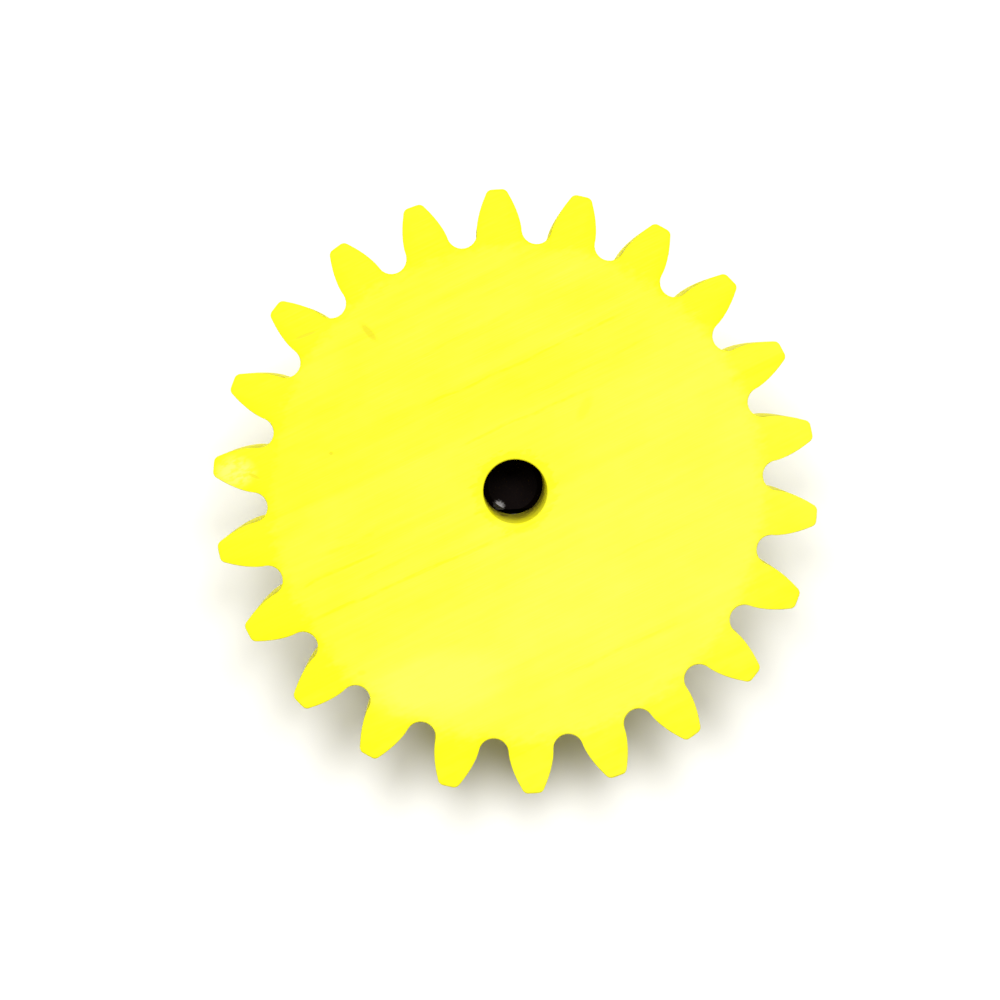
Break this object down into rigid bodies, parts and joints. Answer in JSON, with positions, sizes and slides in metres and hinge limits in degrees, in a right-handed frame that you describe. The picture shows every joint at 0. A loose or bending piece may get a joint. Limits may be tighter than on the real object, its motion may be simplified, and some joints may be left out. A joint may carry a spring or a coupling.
{
  "type": "extruder gear assembly",
  "caption": "Plastic spur gear on a D-cut shaft with a hobbed filament wheel between two shielded ball bearings, for a filament extruder.",
  "frame": {"origin": "on the shaft's axis, in the plane of the rear bearing's rear face, on which the part stands", "axes": "+Z along the shaft, towards the gear's front face; +Y through the middle of one tooth; the shaft's flat faces -Y"},
  "size_m": [0.0476, 0.048, 0.032],
  "materials": {
    "gear_plastic": "printed, lightly sanded",
    "black_steel": "black oxide",
    "wheel_steel": "machined",
    "brass": "machined",
    "spring_steel": "phosphated",
    "shim_steel": "stamped",
    "bearing_steel": "ground",
    "ball_steel": "polished",
    "cage_steel": "stamped",
    "shield_steel": "stamped"
  },
  "bodies": {
    "rear_race": {"rear_outer_ring": "bearing_steel", "rear_lower_shield": "shield_steel", "rear_upper_shield": "shield_steel"},
    "rotor": {"drive_gear": "gear_plastic", "drive_shaft": "black_steel", "hobbed_wheel": "wheel_steel", "thread_inserts": "brass", "grub_screws": "black_steel", "e_clip": "spring_steel", "rear_shim": "shim_steel", "front_shim": "shim_steel", "rear_inner_ring": "bearing_steel", "front_inner_ring": "bearing_steel"},
    "front_race": {"front_outer_ring": "bearing_steel", "front_lower_shield": "shield_steel", "front_upper_shield": "shield_steel"},
    "rear_ball_set": {"rear_balls": "ball_steel", "rear_cage": "cage_steel"},
    "front_ball_set": {"front_balls": "ball_steel", "front_cage": "cage_steel"}
  },
  "joints": [
    {"name": "gear_spin", "type": "hinge", "parent": "rear_race", "child": "rotor", "pos_m": [0, 0, 0.0025], "axis": [0, 0, 1], "continuous": true},
    {"name": "front_race_spin", "type": "hinge", "parent": "rotor", "child": "front_race", "pos_m": [0, 0, 0.0145], "axis": [0, 0, 1], "continuous": true},
    {"name": "rear_ball_orbit", "type": "hinge", "parent": "rear_race", "child": "rear_ball_set", "pos_m": [0, 0, 0.0025], "axis": [0, 0, 1], "continuous": true},
    {"name": "front_ball_orbit", "type": "hinge", "parent": "rotor", "child": "front_ball_set", "pos_m": [0, 0, 0.0145], "axis": [0, 0, 1], "continuous": true}
  ],
  "couplings": [
    {"joint": "rear_ball_orbit", "follows": "gear_spin", "ratio": 0.36771},
    {"joint": "front_ball_orbit", "follows": "front_race_spin", "ratio": 0.63229}
  ]
}
